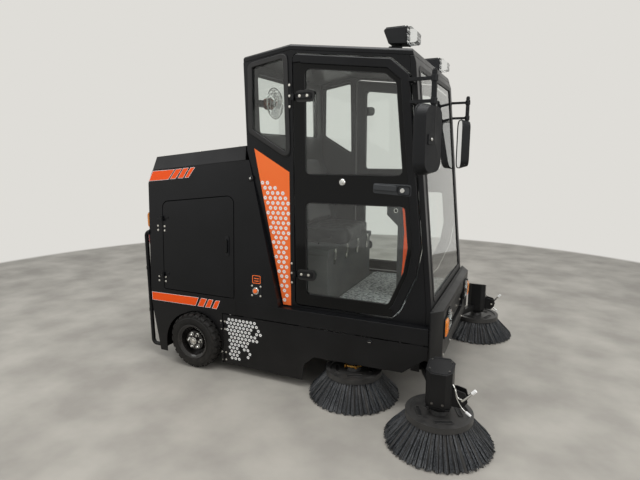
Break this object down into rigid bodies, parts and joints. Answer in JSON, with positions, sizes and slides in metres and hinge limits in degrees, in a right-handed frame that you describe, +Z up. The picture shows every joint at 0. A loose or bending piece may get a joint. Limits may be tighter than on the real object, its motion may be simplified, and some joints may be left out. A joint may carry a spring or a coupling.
{
  "type": "compact road sweeper",
  "caption": "Compact ride-on road sweeper with a glazed cab, hinged doors, a main roller, spinning side brushes, lifting front brush arms and a steered front wheel.",
  "frame": {"origin": "on the floor under the middle of the machine, half way between the rear guards and the front brush tips", "axes": "+X forward, +Y to the machine's left, +Z up"},
  "size_m": [2.4, 2.168, 2.083],
  "materials": {
    "frame_paint": "dark grey paint on steel sections",
    "satin_black_paint": "satin black paint on pressed sheet",
    "battery_case": "dark grey moulded case",
    "lamp_lens_clear": "clear moulded lens",
    "lamp_lens_amber": "amber moulded lens",
    "tinted_glass": "lightly tinted safety glass",
    "seat_vinyl": "black vinyl over foam",
    "dark_plastic": "black moulded plastic, fine grain",
    "lamp_lens_red": "red moulded lens",
    "tyre_rubber": "matt black tread and sidewall",
    "rim_paint": "gloss black paint on a steel rim",
    "bristle": "stiff dark bristles under a moulded disc"
  },
  "bodies": {
    "machine": {"chassis_rails": "frame_paint", "cross_members": "frame_paint", "roller_hanger": "frame_paint", "brush_carriers": "frame_paint", "steering_head": "frame_paint", "rear_axle": "frame_paint", "cab_base": "satin_black_paint", "rear_body": "satin_black_paint", "hood_cover": "satin_black_paint", "rear_panel": "frame_paint", "battery_block": "battery_case", "nose": "satin_black_paint", "headlamp_lenses": "lamp_lens_clear", "indicator_lenses": "lamp_lens_amber", "cab_side_right": "satin_black_paint", "cab_side_left": "satin_black_paint", "cab_rear_wall": "satin_black_paint", "cab_front_frame": "satin_black_paint", "windscreen": "tinted_glass", "cab_roof": "satin_black_paint", "cab_panes": "tinted_glass", "seat_box": "frame_paint", "seat": "seat_vinyl", "console": "dark_plastic", "steering_wheel": "dark_plastic", "cab_fan": "dark_plastic", "mirror_right": "dark_plastic", "mirror_left": "dark_plastic", "roof_lamps": "dark_plastic", "roof_lamp_lenses": "lamp_lens_clear", "rear_lamps_amber": "lamp_lens_amber", "rear_lamps_red": "lamp_lens_red", "rear_guards": "satin_black_paint"},
    "fork": {"steering_fork": "frame_paint"},
    "front_wheel": {"front_tyre": "tyre_rubber", "front_rim": "rim_paint"},
    "rear_wheel_right": {"rear_tyre_right": "tyre_rubber", "rear_rim_right": "rim_paint"},
    "rear_wheel_left": {"rear_tyre_left": "tyre_rubber", "rear_rim_left": "rim_paint"},
    "roller": {"roller_brush": "bristle"},
    "mid_rotor_right": {"mid_brush_right": "bristle"},
    "mid_rotor_left": {"mid_brush_left": "bristle"},
    "arm_right": {"front_arm_right": "frame_paint"},
    "arm_left": {"front_arm_left": "frame_paint"},
    "front_rotor_right": {"front_brush_right": "bristle"},
    "front_rotor_left": {"front_brush_left": "bristle"},
    "door_right": {"cab_door_right": "satin_black_paint", "door_panes_right": "tinted_glass"},
    "door_left": {"cab_door_left": "satin_black_paint", "door_panes_left": "tinted_glass"},
    "hatch_right": {"access_door_right": "satin_black_paint"},
    "hatch_left": {"access_door_left": "satin_black_paint"},
    "skirt_right": {"side_panel_right": "satin_black_paint"},
    "skirt_left": {"side_panel_left": "satin_black_paint"}
  },
  "joints": [
    {"name": "rear_wheel_right_spin", "type": "hinge", "parent": "machine", "child": "rear_wheel_right", "pos_m": [-0.748, -0.612, 0.189], "axis": [0, 1, 0], "continuous": true},
    {"name": "rear_wheel_left_spin", "type": "hinge", "parent": "machine", "child": "rear_wheel_left", "pos_m": [-0.748, 0.612, 0.189], "axis": [0, 1, 0], "continuous": true},
    {"name": "steering", "type": "hinge", "parent": "machine", "child": "fork", "pos_m": [0.62, 0, 0.45], "axis": [0, 0, 1], "range_deg": [-65, 65]},
    {"name": "front_wheel_spin", "type": "hinge", "parent": "fork", "child": "front_wheel", "pos_m": [0.62, 0, 0.189], "axis": [0, 1, 0], "continuous": true},
    {"name": "roller_spin", "type": "hinge", "parent": "machine", "child": "roller", "pos_m": [-0.33, 0, 0.162], "axis": [0, 1, 0], "continuous": true},
    {"name": "mid_brush_right_spin", "type": "hinge", "parent": "machine", "child": "mid_rotor_right", "pos_m": [0.366, -0.528, 0.15], "axis": [0, 0, 1], "continuous": true},
    {"name": "front_arm_right_lift", "type": "hinge", "parent": "machine", "child": "arm_right", "pos_m": [0.73, -0.465, 0.225], "axis": [0, -1, 0], "range_deg": [0, 10]},
    {"name": "front_brush_right_spin", "type": "hinge", "parent": "arm_right", "child": "front_rotor_right", "pos_m": [0.925, -0.809, 0.15], "axis": [0, 0, 1], "continuous": true},
    {"name": "cab_door_right_swing", "type": "hinge", "parent": "machine", "child": "door_right", "pos_m": [-0.01475, -0.56, 1.2], "axis": [0, 0, -1], "range_deg": [0, 85]},
    {"name": "access_door_right_swing", "type": "hinge", "parent": "machine", "child": "hatch_right", "pos_m": [-1.01775, -0.59597, 0.80521], "axis": [0, -0.0534, -0.9986], "range_deg": [0, 100]},
    {"name": "side_panel_right_swing", "type": "hinge", "parent": "machine", "child": "skirt_right", "pos_m": [-0.53425, -0.612, 0.25], "axis": [0, 0, -1], "range_deg": [0, 80]},
    {"name": "mid_brush_left_spin", "type": "hinge", "parent": "machine", "child": "mid_rotor_left", "pos_m": [0.366, 0.528, 0.15], "axis": [0, 0, 1], "continuous": true},
    {"name": "front_arm_left_lift", "type": "hinge", "parent": "machine", "child": "arm_left", "pos_m": [0.73, 0.465, 0.225], "axis": [0, -1, 0], "range_deg": [0, 10]},
    {"name": "front_brush_left_spin", "type": "hinge", "parent": "arm_left", "child": "front_rotor_left", "pos_m": [0.925, 0.809, 0.15], "axis": [0, 0, 1], "continuous": true},
    {"name": "cab_door_left_swing", "type": "hinge", "parent": "machine", "child": "door_left", "pos_m": [-0.01475, 0.56, 1.2], "axis": [0, 0, 1], "range_deg": [0, 85]},
    {"name": "access_door_left_swing", "type": "hinge", "parent": "machine", "child": "hatch_left", "pos_m": [-1.01775, 0.59597, 0.80521], "axis": [0, -0.0534, 0.9986], "range_deg": [0, 100]},
    {"name": "side_panel_left_swing", "type": "hinge", "parent": "machine", "child": "skirt_left", "pos_m": [-0.53425, 0.612, 0.25], "axis": [0, 0, 1], "range_deg": [0, 80]}
  ]
}
